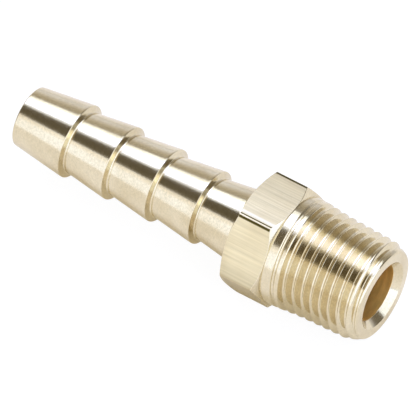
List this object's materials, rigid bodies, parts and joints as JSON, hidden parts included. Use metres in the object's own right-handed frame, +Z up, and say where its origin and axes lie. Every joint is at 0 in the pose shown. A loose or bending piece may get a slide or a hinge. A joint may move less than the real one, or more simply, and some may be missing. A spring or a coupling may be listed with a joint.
{
  "type": "hose barb tail",
  "caption": "Barbed hose tail with a spanner hexagon and a male taper pipe thread, bored right through for water, air or fuel.",
  "frame": {"origin": "centre of the thread end face, on the flow axis", "axes": "+X along the flow axis out of the thread end, +Z up through a flat of the hexagon, which lies on its opposite flat"},
  "size_m": [0.0392, 0.0128, 0.0112],
  "materials": {
    "brass": "machined and polished, pale yellow"
  },
  "bodies": {
    "root": {"hose_barb_tail": "brass"}
  },
  "joints": []
}
